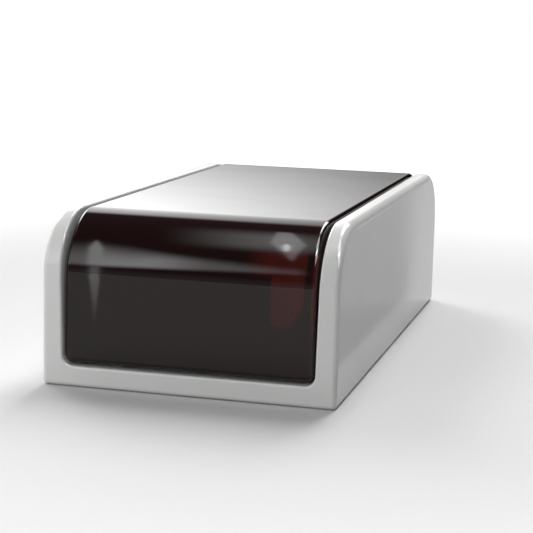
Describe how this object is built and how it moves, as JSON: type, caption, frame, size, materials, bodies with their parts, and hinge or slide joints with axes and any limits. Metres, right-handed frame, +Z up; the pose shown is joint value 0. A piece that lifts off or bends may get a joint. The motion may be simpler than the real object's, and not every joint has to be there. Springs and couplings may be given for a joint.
{
  "type": "rosin cake",
  "caption": "Bar of dark glassy bow rosin held in an open-ended white plastic trough, both with large rounded top corners, for rubbing along bow hair.",
  "frame": {"origin": "centre of the holder's flat underside, which is also the centre of the bottom of the whole object's box", "axes": "+Z up, +Y along the length from the front end to the back end, +X to the right across the two side walls; the front end faces -Y"},
  "size_m": [0.0312, 0.062, 0.018],
  "materials": {
    "holder_plastic": "moulded white styrene-type plastic, glossy, with soft fillets and fine handling scratches",
    "rosin": "cast dark rosin, glassy and polished, nearly black with a deep red-brown glow where it is thin",
    "adhesive": "thin film of clear amber adhesive, satin"
  },
  "bodies": {
    "root": {"holder": "holder_plastic", "rosin_block": "rosin", "adhesive_pad": "adhesive"}
  },
  "joints": []
}
